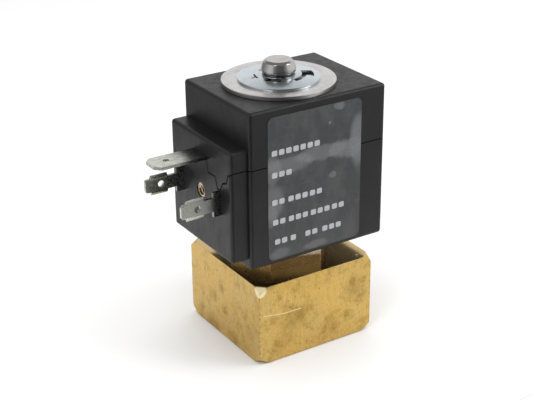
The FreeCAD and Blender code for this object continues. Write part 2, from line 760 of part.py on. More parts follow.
def make_housing(buried):
    form = coil_form("CoilForm", NO_INSET)
    above = above_seam("AboveSeam", NO_INSET)
    band = combine("Part::Cut", "SeamBand", Base=above_seam("AboveSeamLow", -seam_width / 2),
                   Tool=above_seam("AboveSeamHigh", seam_width / 2))
    groove = combine("Part::Cut", "SeamGroove", Base=band, Tool=coil_form("CoilFormInner", seam_depth))

    hollow = new_body("CoilHollow")
    add_block(hollow, "Cavity", (-cavity_front, -cavity_half, cavity_floor), (cavity_back, cavity_half, cavity_top))
    add_rod(hollow, "TubeBore", housing_bore, coil_floor - 1, coil_top + 1)
    screw = sketch_on(hollow, "ScrewCircle", "YZ_Plane", -(boss_front - insert_recess))
    draw_circle(screw, 0, plug_axis, screw_hole_radius)
    pad(hollow, screw, "ScrewHole", insert_recess + 1, backwards=True)
    seat = sketch_on(hollow, "InsertCircle", "YZ_Plane", -(boss_front - insert_recess))
    draw_circle(seat, 0, plug_axis, insert_radius)
    pad(hollow, seat, "InsertSeat", insert_length)

    tools = combine("Part::MultiFuse", "HousingCuts", Shapes=[hollow, groove] + buried)
    shell = combine("Part::Cut", "CoilShell", Base=form, Tool=tools)
    keep("coil_housing_upper", combine("Part::Common", "UpperShell", Base=shell, Tool=above))
    keep("coil_housing_lower", combine("Part::Cut", "LowerShell", Base=shell, Tool=above))


def make_label():
    body = new_body("Label")
    outline = sketch_on(body, "Outline", "XZ_Plane", housing_half)
    draw_outline(outline, rectangle(label_front_margin - housing_front, housing_back - label_back_margin,
                                    coil_floor + label_bottom_margin, coil_top - label_top_margin))
    film = pad(body, outline, "Film", label_thickness)
    round_edges(body, film, "Corners", label_corner,
                lambda edge, middle: abs(edge.tangentAt(edge.FirstParameter).y) > 0.9)
    keep("rating_label", body)


# ---- top of the coil ----------------------------------------------------------------------------
def make_washer():
    body = new_body("CoilWasher")
    spin(body, "Section", ring_section(stud_neck_radius + fit_gap * 3, washer_radius, washer_bottom, washer_top))
    keep("coil_washer", body)


def make_clip():
    """A dished spring washer whose lip sits in the stud's groove and whose slots part its tongues."""
    body = new_body("ClipDish")
    lip = stud_groove_radius + fit_gap
    shoulder = stud_neck_radius + clip_thickness
    rise = washer_top + clip_dish
    spin(body, "Section", [
        (lip, rise), (shoulder, rise), (clip_radius, washer_top), (clip_radius, washer_top + clip_thickness),
        (shoulder, rise + clip_thickness), (stud_neck_radius, rise + clip_thickness + fit_gap * 3),
        (lip, rise + clip_thickness + fit_gap * 3),
    ])
    slots = []
    for number, (inner, outer, first, last) in enumerate(CLIP_SLOTS):
        rods = []
        for name, radius in (("Outer", outer), ("Inner", inner)):
            rod = doc.addObject("Part::Cylinder", f"Slot{name}{number}")
            rod.Angle = last - first
            rod.Placement = Placement(Vector(0, 0, 0), Rotation(Vector(0, 0, 1), first))
            bind(rod, "Radius", radius * clip_radius / clip_radius.value)
            bind(rod, "Height", clip_dish + clip_thickness * 4)
            bind(rod, "Placement.Base.z", washer_top - clip_thickness)
            rods.append(rod)
        slots.append(combine("Part::Cut", f"Slot{number}", Base=rods[0], Tool=rods[1]))
    cuts = combine("Part::MultiFuse", "ClipSlots", Shapes=slots)
    keep("retaining_clip", combine("Part::Cut", "RetainingClip", Base=body, Tool=cuts))


make_valve_body()
make_port_rings()
make_hex_collar()
make_armature_tube()
make_tube_ring()
make_fixed_core()
make_shading_ring()
make_plunger()
make_plunger_seal()
make_return_spring()
make_bobbin()
make_winding()
make_yoke()
line = power_blade("terminal_line", "LineBlade", -1)
neutral = power_blade("terminal_neutral", "NeutralBlade", 1)
earth = make_earth_blade()
make_leads()
make_insert()
make_housing([line, neutral, earth])
make_label()
make_washer()
make_clip()
doc.recompute()

for thing in doc.Objects:
    if "Invalid" in thing.State or "Error" in thing.State:
        raise RuntimeError(f"{thing.Label} failed: {thing.State}")
for piece in PIECES:
    if piece.Shape.isNull() or not piece.Shape.isValid():
        raise RuntimeError(f"{piece.Label} has no valid shape")

os.makedirs("parts", exist_ok=True)
for piece in PIECES:
    piece.Shape.exportStep(f"parts/{piece.Label}.step")
    box = piece.Shape.BoundBox
    print(f"{piece.Label}: {len(piece.Shape.Solids)} solids, volume {piece.Shape.Volume:.2f}, "
          f"x {box.XMin:.2f} {box.XMax:.2f}, y {box.YMin:.2f} {box.YMax:.2f}, z {box.ZMin:.2f} {box.ZMax:.2f}")
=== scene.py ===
"""Looks of the pad-mounted solenoid valve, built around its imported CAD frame."""

import json
import math

import bmesh
import bpy
from mathutils import Matrix, Vector, noise


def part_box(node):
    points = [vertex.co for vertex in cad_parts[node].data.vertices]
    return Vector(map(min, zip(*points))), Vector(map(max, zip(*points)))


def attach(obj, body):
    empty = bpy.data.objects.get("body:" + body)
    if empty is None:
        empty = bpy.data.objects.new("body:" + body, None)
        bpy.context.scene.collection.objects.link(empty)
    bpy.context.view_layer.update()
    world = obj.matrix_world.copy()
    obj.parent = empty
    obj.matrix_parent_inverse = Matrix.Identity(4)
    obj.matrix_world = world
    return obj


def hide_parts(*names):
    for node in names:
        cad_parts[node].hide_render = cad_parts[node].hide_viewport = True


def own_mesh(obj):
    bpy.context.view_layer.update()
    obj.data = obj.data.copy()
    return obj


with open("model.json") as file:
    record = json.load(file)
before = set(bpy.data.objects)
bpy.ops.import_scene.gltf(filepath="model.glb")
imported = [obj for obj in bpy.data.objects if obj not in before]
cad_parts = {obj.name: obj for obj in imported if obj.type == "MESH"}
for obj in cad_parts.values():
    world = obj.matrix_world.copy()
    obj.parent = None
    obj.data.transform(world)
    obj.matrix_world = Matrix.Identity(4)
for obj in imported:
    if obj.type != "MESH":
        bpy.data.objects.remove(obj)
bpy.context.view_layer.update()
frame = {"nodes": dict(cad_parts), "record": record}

MM = 0.001
BASE, COIL = "valve_base", "coil"

# The CAD boxes that the pieces are placed by.
block_low, block_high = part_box("valve_body")
label_low, label_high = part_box("rating_label")
label_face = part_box("coil_housing_lower")[0].y  # the wall under the label
BLOCK_TOP = block_high.z / MM
SEAM_LEVEL = 49.4  # where the housings' joint crosses their plain walls, in millimetres


# ---- node materials -----------------------------------------------------------------------------
def add_node(tree, kind, sockets=None, **settings):
    """A shader node with its settings made, and its inputs set or linked."""
    node = tree.nodes.new("ShaderNode" + kind)
    for name, value in settings.items():
        setattr(node, name, value)
    for name, value in (sockets or {}).items():
        if isinstance(value, bpy.types.NodeSocket):
            tree.links.new(value, node.inputs[name])
        else:
            node.inputs[name].default_value = value
    return node


class Look:
    """A node material: its shader, and the object's own coordinates in millimetres."""

    def __init__(self, name, **shader_values):
        self.material = bpy.data.materials.new(name)
        self.material.use_nodes = True
        self.tree = self.material.node_tree
        self.tree.nodes.clear()
        self.shader = self.add("BsdfPrincipled")
        out = self.add("OutputMaterial")
        self.tree.links.new(self.shader.outputs["BSDF"], out.inputs["Surface"])
        for name, value in shader_values.items():
            self.set(name.replace("_", " "), value)
        coordinates = self.add("TexCoord").outputs["Object"]
        scaled = self.add("VectorMath", {0: coordinates, "Scale": 1 / MM}, operation="SCALE")
        self.place = scaled.outputs[0]

    def add(self, kind, sockets=None, **settings):
        return add_node(self.tree, kind, sockets, **settings)

    def set(self, name, value):
        """Sets or links one of the shader's own inputs."""
        socket = self.shader.inputs[name]
        if isinstance(value, bpy.types.NodeSocket):
            self.tree.links.new(value, socket)
        else:
            socket.default_value = (*value, 1) if isinstance(value, tuple) and len(value) == 3 else value

    def math(self, operation, first, second=0.0, clamp=False):
        node = self.add("Math", {0: first, 1: second}, operation=operation, use_clamp=clamp)
        return node.outputs[0]

    def moved(self, scale=(1, 1, 1), shift=(0, 0, 0)):
        """The place stretched and moved, for textures with a direction."""
        return self.add("Mapping", {"Vector": self.place, "Scale": scale, "Location": shift}).outputs[0]

    def noise(self, scale, detail=3.0, stretch=(1, 1, 1), shift=(0, 0, 0), rough=0.55):
        vector = self.moved(stretch, shift)
        return self.add("TexNoise", {"Vector": vector, "Scale": scale, "Detail": detail,
                                     "Roughness": rough}).outputs[0]

    def cells(self, scale, stretch=(1, 1, 1), shift=(0, 0, 0)):
        """Distance to the nearest of scattered points."""
        cells = self.add("TexVoronoi", {"Vector": self.moved(stretch, shift), "Scale": scale})
        return cells.outputs["Distance"]

    def rings(self, radius, up, scale, detail):
        """Turning marks: a pattern that changes only outwards and upwards."""
        profile = self.add("CombineXYZ", {0: radius, 1: up}).outputs[0]
        return self.add("TexNoise", {"Vector": profile, "Scale": scale, "Detail": detail}).outputs[0]

    def band(self, value, low, high, to_low=0.0, to_high=1.0):
        """Value carried smoothly from one range to another, held at its ends."""
        sockets = {"Value": value, "From Min": low, "From Max": high,
                   "To Min": to_low, "To Max": to_high}
        return self.add("MapRange", sockets, interpolation_type="SMOOTHSTEP").outputs[0]

    def blend(self, share, first, second):
        """A colour between two."""
        first, second = (colour if isinstance(colour, bpy.types.NodeSocket) else (*colour, 1)
                         for colour in (first, second))
        return self.add("Mix", {0: share, 6: first, 7: second}, data_type="RGBA").outputs[2]

    def axes(self):
        """The place's three coordinates and its distance from the valve's axis."""
        parts = self.add("SeparateXYZ", {0: self.place}).outputs
        flat = self.add("CombineXYZ", {0: parts[0], 1: parts[1]}).outputs[0]
        radius = self.add("VectorMath", {0: flat}, operation="LENGTH").outputs["Value"]
        return parts[0], parts[1], parts[2], radius

    def bump(self, height, depth, under=None):
        """Relief: depth is in millimetres for a height of one."""
        sockets = {"Height": height, "Strength": 1.0, "Distance": depth * MM}
        if under is not None:
            sockets["Normal"] = under
        return self.add("Bump", sockets).outputs[0]

    def patch(self, across, up, middle, height, half_width, half_height, amount):
        """A soft oval in the plane of a side face."""
        wide, tall = (
            self.math("POWER", self.math("DIVIDE", self.math("SUBTRACT", value, centre), half), 2.0)
            for value, centre, half in ((across, middle, half_width), (up, height, half_height)))
        return self.band(self.math("ADD", wide, tall), 0.35, 1.25, amount, 0.0)

    def stroke(self, start, end, width):
        """One along a straight mark between two points, nothing beside it."""
        run = Vector(end) - Vector(start)
        from_start = self.add("VectorMath", {0: self.place, 1: start}, operation="SUBTRACT").outputs[0]
        share = self.add("VectorMath", {0: from_start, 1: run / run.length_squared},
                         operation="DOT_PRODUCT").outputs["Value"]
        along = self.add("VectorMath", {0: run, "Scale": self.math("ADD", share, 0, clamp=True)},
                         operation="SCALE").outputs[0]
        gap = self.add("VectorMath", {0: from_start, 1: along}, operation="DISTANCE").outputs["Value"]
        return self.band(gap, width * 0.4, width, 1.0, 0.0)

    def near(self, point, reach, soft):
        """One at a point in millimetres, falling to nothing at its reach."""
        gap = self.add("VectorMath", {0: self.place, 1: point}, operation="DISTANCE").outputs["Value"]
        return self.band(gap, reach - soft, reach, 1.0, 0.0)


def total(look, values):
    """The values added up, held between nothing and one."""
    added = values[0]
    for value in values[1:]:
        added = look.math("ADD", added, value, clamp=True)
    return added


# Where the block's sides are stained: a point, how far the stain reaches and how strong it is.
BRASS_STAINS = [
    ((11.2, -16, 13.0), 4.5, 0.8), ((4.1, -16, 4.4), 4.0, 0.6), ((-9.3, -16, 5.3), 3.5, 0.5),
    ((9.1, -16, 5.9), 2.5, 0.6), ((-6.5, -16, 9.5), 5.5, 0.7), ((-16, 5.7, 9.4), 3.0, 0.6),
    ((-16, -0.1, 7.3), 2.2, 0.55), ((-16, 11.0, 3.6), 2.5, 0.5), ((-16, -11.4, 6.6), 2.6, 0.5),
    ((-16, 6.0, 1.2), 4.6, 0.85), ((-16, -4.0, 1.0), 3.4, 0.75), ((-11.0, -16, 3.0), 3.0, 0.6),
    ((-3.0, -16, 11.5), 2.6, 0.55), ((12.8, -16, 9.0), 2.2, 0.6), ((-16, 1.5, 12.6), 1.8, 0.6),
]
# Light scratches on the front side: two ends and a width each.
SCRATCHES = [((-15.0, -16, 12.9), (-9.3, -16, 12.0), 0.13), ((-9.3, -16, 12.0), (-4.4, -16, 11.9), 0.16),
             ((-8.9, -16, 18.0), (-8.95, -16, 15.4), 0.05), ((-16, 8.6, 15.5), (-16, 8.0, 13.2), 0.06)]
PAINTED_HIGHLIGHT_FACET = (-15.7, -15.7, 19.6)  # the corner facet with a painted highlight
CHAMFER_FOOT = 18.5  # the block's upright edges end here, in the corner facets
BLOCK_EDGES = [(x / MM, y / MM)
               for x in (block_low.x, block_high.x) for y in (block_low.y, block_high.y)]


def brass_block_look():
    """Drawn brass bar: upright lines, tarnish, dents and a scratch on its sides; its top is turned."""
    look = Look("brass_block", Metallic=1.0)
    _, _, up, radius = look.axes()
    lines = look.noise(4.0, 4, (1, 1, 0.03))
    fine = look.noise(14.0, 2, (1, 1, 0.03))
    cloud = look.noise(0.11, 4, shift=(3, 1, 7), rough=0.65)
    blotch = look.noise(0.35, 5, (1, 1, 0.8), shift=(11, 4, 2), rough=0.75)
    grain = look.noise(1.6, 6, (1, 1, 0.7), shift=(4, 8, 6), rough=0.8)
    gold = look.blend(look.band(cloud, 0.35, 0.7), (0.62, 0.40, 0.100), (0.60, 0.415, 0.138))
    gold = look.blend(look.band(lines, 0.35, 0.75, 0, 0.5), gold, (0.76, 0.55, 0.22))
    gold = look.blend(look.band(grain, 0.50, 0.72, 0, 0.75), gold, (0.36, 0.21, 0.045))
    gold = look.blend(look.band(grain, 0.30, 0.42, 0.35, 0), gold, (0.85, 0.68, 0.38))
    spots = total(look, [look.math("MULTIPLY", look.near(point, reach, reach * 0.85), amount)
                         for point, reach, amount in BRASS_STAINS])
    spotted = look.math("MULTIPLY", spots, look.band(blotch, 0.25, 0.60, 0.35, 1.0))
    tarnish = total(look, [look.band(blotch, 0.48, 0.68, 0, 0.7), spotted])
    gold = look.blend(tarnish, gold, (0.44, 0.285, 0.075))
    veins = look.math("MULTIPLY", spots, look.band(grain, 0.50, 0.62, 0, 0.5))
    gold = look.blend(veins, gold, (0.27, 0.17, 0.05))
    dents = look.math("MULTIPLY", look.band(look.cells(0.6, shift=(2, 5, 3)), 0.06, 0.22, 1, 0),
                      look.band(look.noise(0.2, 2, shift=(5, 5, 5)), 0.42, 0.6))
    crumbs = look.band(look.cells(2.1, (1, 1, 0.6), shift=(7, 1, 4)), 0.10, 0.22, 1, 0)
    crumbs = look.math("MULTIPLY", crumbs, look.band(look.noise(0.35, 3, shift=(1, 4, 9)), 0.50, 0.66))
    marks = total(look, [look.math("MULTIPLY", dents, 0.55), look.math("MULTIPLY", crumbs, 0.5)])
    gold = look.blend(marks, gold, (0.20, 0.12, 0.035))
    scratch = total(look, [look.stroke(start, end, width) for start, end, width in SCRATCHES])
    gold = look.blend(look.math("MULTIPLY", scratch, look.band(fine, 0.25, 0.6, 0.35, 0.9)), gold,
                      (0.92, 0.76, 0.46))
    worn = total(look, [look.stroke((x, y, 0), (x, y, CHAMFER_FOOT), 0.30) for x, y in BLOCK_EDGES])
    gold = look.blend(look.math("MULTIPLY", worn, look.band(grain, 0.45, 0.6)), gold, (0.30, 0.17, 0.05))
    # painted highlight: the corner facet is lightened to a pale gold
    painted_highlight = look.math("MULTIPLY", look.near(PAINTED_HIGHLIGHT_FACET, 1.9, 0.5),
                       look.band(up, CHAMFER_FOOT - 1.5, CHAMFER_FOOT - 0.2))
    gold = look.blend(painted_highlight, gold, (0.90, 0.76, 0.48))
    turned = look.band(up, BLOCK_TOP - 0.15, BLOCK_TOP - 0.05)
    gold = look.blend(turned, gold, (0.60, 0.43, 0.19))
    look.set("Base Color", gold)
    rough = look.band(lines, 0.25, 0.8, 0.26, 0.40)
    rough = look.math("ADD", rough, look.math("MULTIPLY", tarnish, 0.14))
    look.set("Roughness", look.math("MULTIPLY", rough, look.band(turned, 0, 1, 1, 0.45)))
    rings = look.rings(radius, 0.0, 6.0, 2.0)
    side = look.math("SUBTRACT", 1.0, turned)
    relief = look.bump(look.math("MULTIPLY", lines, side), 0.012)
    relief = look.bump(look.math("MULTIPLY", fine, side), 0.005, relief)
    relief = look.bump(look.math("MULTIPLY", grain, side), 0.02, relief)
    relief = look.bump(look.math("MULTIPLY", rings, turned), 0.004, relief)
    relief = look.bump(look.math("SUBTRACT", 1.0, marks), 0.04, relief)
    look.set("Normal", relief)
    return look.material


def turned_look(name, colour, roughness, ring_scale=5.0, tint=None, depth=0.004, drawn_out=0.4):
    """Metal turned about the valve's axis: fine rings, brushed reflections and faint smears."""
    look = Look(name, Metallic=1.0, Anisotropic=drawn_out)
    _, _, up, radius = look.axes()
    look.set("Tangent", look.add("Tangent", direction_type="RADIAL", axis="Z").outputs[0])
    rings = look.rings(radius, up, ring_scale, 3.0)
    smear = look.noise(0.35, 4, rough=0.65)
    colours = look.blend(look.band(smear, 0.35, 0.75), colour, tint or tuple(c * 0.82 for c in colour))
    look.set("Base Color", colours)
    look.set("Roughness", look.math("ADD", look.band(rings, 0.3, 0.7, roughness * 0.8, roughness * 1.25),
                                    look.band(smear, 0.4, 0.8, 0, 0.08)))
    look.set("Normal", look.bump(rings, depth))
    return look.material


def plated_look(name, colour, shade, roughness, grain=1.2, depth=0.004, painted_shade_span=None):
    """Plated sheet metal: mottled plating, rolling marks, and where asked a painted shade growing along
    X.
    """
    look = Look(name, Metallic=1.0)
    mottle = look.noise(grain, 5, rough=0.7)
    cloud = look.noise(0.22, 3, shift=(4, 9, 1))
    rolled = look.noise(9.0, 2, (0.05, 1, 1))
    colours = look.blend(look.band(mottle, 0.35, 0.7), colour, shade)
    colours = look.blend(look.band(cloud, 0.45, 0.75, 0, 0.5), colours, tuple(c * 0.75 for c in colour))
    if painted_shade_span:
        # painted shade: darker along X towards the housing
        across = look.axes()[0]
        painted_shade = look.band(across, *painted_shade_span, 0, 0.8)
        colours = look.blend(painted_shade, colours, (0.16, 0.17, 0.18))
    look.set("Base Color", colours)
    rough = look.band(mottle, 0.3, 0.75, roughness * 0.75, roughness * 1.3)
    look.set("Roughness", look.math("ADD", rough, look.band(rolled, 0.5, 0.8, 0, 0.06)))
    relief = look.bump(rolled, depth * 0.5)
    look.set("Normal", look.bump(mottle, depth, relief))
    return look.material


# The moulding joint on the connector face: from the earth blade, past the near blade's root, to the
# corner.
JOINT_WIDTH = 0.28
FACE_SEAM = [(-21.5, -3.15, 49.3), (-21.5, -3.55, 46.7), (-21.5, -6.7, 46.7), (-21.5, -7.75, 44.05),
             (-21.5, -8.9, 44.05), (-21.5, -10.0, 46.1), (-21.5, -11.7, 46.8), (-21.5, -12.4, 48.8),
             (-21.5, -14.5, 49.4)]


def black_plastic_look():
    """Glass-filled moulding: near black, fine grain, soft sheen with handling marks and dust."""
    look = Look("black_plastic", IOR=1.47)
    grain = look.noise(14.0, 3)
    cloud = look.noise(0.09, 4, shift=(2, 8, 5), rough=0.6)
    smear = look.noise(0.5, 5, (1, 1, 0.4), shift=(7, 1, 3), rough=0.7)
    base = look.blend(look.band(cloud, 0.35, 0.7), (0.0055, 0.0055, 0.006), (0.0085, 0.0085, 0.009))
    dust = look.band(look.cells(1.3, shift=(1, 2, 3)), 0.03, 0.055, 1, 0)
    dust = look.math("MULTIPLY", dust, look.band(look.noise(0.6, 2, shift=(9, 9, 9)), 0.6, 0.66))
    look.set("Base Color", look.blend(look.math("MULTIPLY", dust, 0.6), base, (0.30, 0.29, 0.27)))
    rough = look.band(smear, 0.35, 0.75, 0.36, 0.50)
    rough = look.math("ADD", rough, look.band(grain, 0.3, 0.7, 0, 0.05))
    joint = total(look, [look.stroke(start, end, JOINT_WIDTH)
                         for start, end in zip(FACE_SEAM, FACE_SEAM[1:])])
    look.set("Roughness", look.math("ADD", rough, look.math("MULTIPLY", joint, 0.6), clamp=True))
    relief = look.bump(look.noise(0.12, 3, shift=(6, 6, 1)), 0.06)
    relief = look.bump(look.math("SUBTRACT", 1.0, joint), 0.12, relief)
    look.set("Normal", look.bump(grain, 0.0035, relief))
    return look.material


# Patches of painted reflection on the film: middle across and up, half width, half height, and how
# strong the painted reflection is.
PAINTED_REFLECTION_PATCHES = [(12.6, 50.8, 2.8, 7.0, 0.80), (9.0, 49.4, 5.2, 2.4, 0.75), (2.0, 49.9, 7.5, 1.9, 0.62),
          (-6.5, 48.9, 6.5, 2.2, 0.62), (-11.4, 48.2, 2.6, 3.6, 0.6), (-11.2, 40.5, 3.2, 4.6, 0.62),
          (-11.8, 37.0, 2.0, 3.0, 0.5), (6.9, 60.2, 1.6, 1.2, 0.7), (5.2, 43.6, 1.2, 1.1, 0.6),
          (4.3, 56.8, 0.4, 0.4, 1.0), (0.5, 27.0, 3.6, 1.0, 0.5), (-9.5, 27.2, 2.8, 1.4, 0.45)]


def label_film_look():
    """Grey film over the housing: hazy where it is pressed down, lightened to a silvery grey by a
    painted reflection in the listed patches.
    """
    look = Look("label_film", IOR=1.45, Coat_Weight=0.2, Coat_Roughness=0.15)
    across, _, up, _ = look.axes()
    weave = look.noise(6.0, 3)
    haze = look.noise(0.35, 5, (1, 1, 0.5), shift=(1, 7, 2), rough=0.7)
    streak = look.noise(1.4, 4, (0.15, 1, 1), shift=(5, 3, 8))
    drift = look.math("MULTIPLY", look.math("SUBTRACT", look.noise(0.25, 3, shift=(8, 2, 4)), 0.5), 2.2)
    crumple = look.math("MULTIPLY", look.math("SUBTRACT", look.noise(0.9, 4, shift=(3, 2, 9)), 0.5), 0.9)
    bent = look.math("ADD", look.math("ADD", up, drift), crumple)
    # painted reflection: the patches where the film's colour is lightened, their outlines bent by noise
    film_lift_and_painted_reflection = total(look, [look.patch(across, bent, *row) for row in PAINTED_REFLECTION_PATCHES])
    grey = look.blend(look.band(haze, 0.35, 0.7), (0.036, 0.037, 0.039), (0.058, 0.059, 0.061))
    grey = look.blend(look.band(streak, 0.55, 0.8, 0, 0.4), grey, (0.080, 0.081, 0.083))
    grey = look.blend(look.band(weave, 0.45, 0.75, 0, 0.25), grey, (0.10, 0.10, 0.10))
    # painted reflection lightening the grey
    grey = look.blend(film_lift_and_painted_reflection, grey, (0.145, 0.146, 0.150))
    look.set("Base Color", grey)
    rough = look.math("ADD", look.band(haze, 0.3, 0.75, 0.32, 0.46), look.band(weave, 0.3, 0.7, 0, 0.06))
    look.set("Roughness", look.math("MULTIPLY", rough, look.band(film_lift_and_painted_reflection, 0, 1, 1.0, 0.7)))
    look.set("Normal", look.bump(weave, 0.004))
    return look.material


def print_look():
    """Pale ink, thin enough to let the film's grain through."""
    look = Look("label_ink", Roughness=0.5)
    wear = look.noise(3.0, 4, rough=0.7)
    ink = look.blend(look.band(wear, 0.35, 0.75), (0.44, 0.45, 0.47), (0.32, 0.33, 0.35))
    look.set("Base Color", ink)
    look.set("Normal", look.bump(wear, 0.004))
    return look.material


def dull_look(name, colour, shade, roughness, grain, depth):
    """Moulded rubber and plastics, tape and enamel: a grain, a cloudy tint and a soft gloss."""
    look = Look(name)
    fine = look.noise(grain, 4)
    cloud = look.noise(0.3, 4, shift=(3, 3, 8))
    look.set("Base Color", look.blend(look.band(cloud, 0.35, 0.7), colour, shade))
    look.set("Roughness", look.band(fine, 0.3, 0.7, roughness * 0.85, roughness * 1.15))
    look.set("Normal", look.bump(fine, depth))
    return look.material


WIRE_PITCH = 0.22


def winding_look():
    """Enamelled copper wire laid turn beside turn."""
    look = Look("copper_winding", Metallic=1.0)
    up = look.axes()[2]
    turns = look.math("SINE", look.math("MULTIPLY", up, 2 * math.pi / WIRE_PITCH))
    tint = look.noise(1.5, 3, (1, 1, 6))
    copper = look.blend(look.band(tint, 0.35, 0.7), (0.70, 0.30, 0.14), (0.52, 0.20, 0.09))
    look.set("Base Color", copper)
    look.set("Roughness", look.band(tint, 0.3, 0.7, 0.28, 0.4))
    look.set("Normal", look.bump(turns, 0.06))
    return look.material


TERMINAL_PAINTED_SHADE = (-31.0, -21.0)  # painted shade: the terminals darken from here to here, towards the housing


def make_looks():
    return {
        "brass_block": brass_block_look(),
        "brass_turned": turned_look("brass_turned", (0.62, 0.50, 0.33), 0.24, 6.0, (0.50, 0.39, 0.25)),
        "black_plastic": black_plastic_look(),
        "tin": plated_look("tin_plate", (0.64, 0.65, 0.58), (0.54, 0.55, 0.49), 0.28, 0.8, 0.001,
                           TERMINAL_PAINTED_SHADE),
        "stainless": turned_look("stainless", (0.48, 0.46, 0.45), 0.11, 7.0, depth=0.002),
        "zinc": plated_look("zinc_plate", (0.56, 0.62, 0.66), (0.62, 0.66, 0.66), 0.20, 0.5, 0.0015),
        "steel": turned_look("plain_steel", (0.68, 0.67, 0.66), 0.28, 5.0, (0.58, 0.55, 0.53),
                             0.010, 0.1),
        "copper": winding_look(),
        "rubber": dull_look("rubber", (0.018, 0.018, 0.018), (0.03, 0.03, 0.03), 0.6, 6.0, 0.01),
        "bobbin_plastic": dull_look("bobbin_plastic", (0.62, 0.56, 0.42), (0.54, 0.48, 0.36), 0.45, 8.0,
                                    0.004),
        "tape": dull_look("winding_tape", (0.62, 0.42, 0.08), (0.52, 0.34, 0.06), 0.3, 5.0, 0.006),
        "label_film": label_film_look(),
        "label_ink": print_look(),
    }


looks = make_looks()


# ---- meshes -------------------------------------------------------------------------------------
MERGE_DISTANCE = 0.0005  # millimetres
FLAT_LIMIT = math.radians(0.6)
CREASE_LIMIT = math.radians(35)
LABEL_CREASE = math.radians(50)


def mesh_from(bm, name):
    """The bmesh as a mesh; the bmesh is freed."""
    mesh = bpy.data.meshes.new(name)
    bm.to_mesh(mesh)
    bm.free()
    return mesh


def skin(bm, rings):
    """Faces along a run of rings, with a flat end at each end."""
    for first, second in zip(rings, rings[1:]):
        for index in range(len(first)):
            after = (index + 1) % len(first)
            bm.faces.new((first[index], first[after], second[after], second[index]))
    bm.faces.new(list(reversed(rings[0])))
    bm.faces.new(rings[-1])


def new_piece(name, mesh_data, look, body):
    """A finished mesh becomes a piece that rides on a body."""
    piece = bpy.data.objects.new(name, mesh_data)
    bpy.context.scene.collection.objects.link(piece)
    piece.data.materials.clear()
    piece.data.materials.append(looks[look])
    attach(piece, body)
    return piece


def soften(bm, width, segments, limit):
    """Rounds the edges that turn by more than the limit."""
    sharp = [edge for edge in bm.edges if len(edge.link_faces) == 2 and edge.calc_face_angle() > limit]
    bmesh.ops.bevel(bm, geom=sharp, offset=width, segments=segments, profile=0.5, affect="EDGES",
                    clamp_overlap=True)


def refined(node, look, body, slot, width=0.12, segments=2, limit=28):
    """The CAD node's own shape with its edges rounded and its flat faces made whole."""
    bm = bmesh.new()
    bm.from_mesh(frame["nodes"][node].data)
    bmesh.ops.remove_doubles(bm, verts=bm.verts, dist=MERGE_DISTANCE * MM)
    bmesh.ops.dissolve_limit(bm, angle_limit=FLAT_LIMIT, verts=bm.verts, edges=bm.edges)
    soften(bm, width * MM, segments, math.radians(limit))
    for face in bm.faces:
        face.smooth = True
    for edge in bm.edges:
        edge.smooth = len(edge.link_faces) != 2 or edge.calc_face_angle() < CREASE_LIMIT
    piece = new_piece(node + "_look", mesh_from(bm, node + "_look"), look, body)
    piece.modifiers.new("Normals", "WEIGHTED_NORMAL").keep_sharp = True
    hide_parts(node)


LABEL_LEFT, LABEL_RIGHT = label_low.x / MM, label_high.x / MM
LABEL_FOOT, LABEL_TOP = label_low.z / MM, label_high.z / MM
LABEL_CORNER = 1.5
FILM_THICKNESS = 0.10
# Blisters under the film: where, how wide, how high and how far they stand off, in millimetres.
BLISTERS = [(9.5, 49.6, 3.2, 2.4, 0.10), (2.5, 48.6, 5.0, 1.3, 0.07), (-6.0, 47.9, 4.0, 0.9, 0.05),
            (11.0, 46.0, 1.6, 2.2, 0.05), (6.9, 59.0, 0.9, 0.7, 0.05), (5.2, 43.6, 0.7, 0.7, 0.06),
            (-11.0, 40.0, 1.2, 3.0, 0.04), (4.3, 56.8, 0.6, 0.5, 0.04)]
EDGE_BAND, EDGE_RISE = 1.2, 0.012  # the pressed rim of the film, and how far the rest stands off
WRINKLE_HALF_WIDTH, WRINKLE_HEIGHT = 0.55, 0.05
RIPPLE_HEIGHT = 0.012
LABEL_COLUMNS, LABEL_ROWS = 104, 142
INK_THICKNESS = 0.012


def film_height(across, up):
    """How far the label stands off the housing: pressed edges, a wrinkle at the seam, blisters."""
    edge = min(across - LABEL_LEFT, LABEL_RIGHT - across, up - LABEL_FOOT, LABEL_TOP - up)
    film_lift_and_painted_reflection = min(1.0, max(0.0, edge) / EDGE_BAND)
    crest = SEAM_LEVEL + 0.25 * math.sin(across * 0.6)
    wrinkle = math.exp(-((up - crest) / WRINKLE_HALF_WIDTH) ** 2)
    blister = sum(amount * math.exp(-(((across - x) / wide) ** 2 + ((up - z) / high) ** 2))
                  for x, z, wide, high, amount in BLISTERS)
    ripple = RIPPLE_HEIGHT * noise.noise(Vector((across * 0.25, 0.0, up * 0.5)))
    return FILM_THICKNESS + film_lift_and_painted_reflection * (WRINKLE_HEIGHT * wrinkle + blister + ripple + EDGE_RISE)


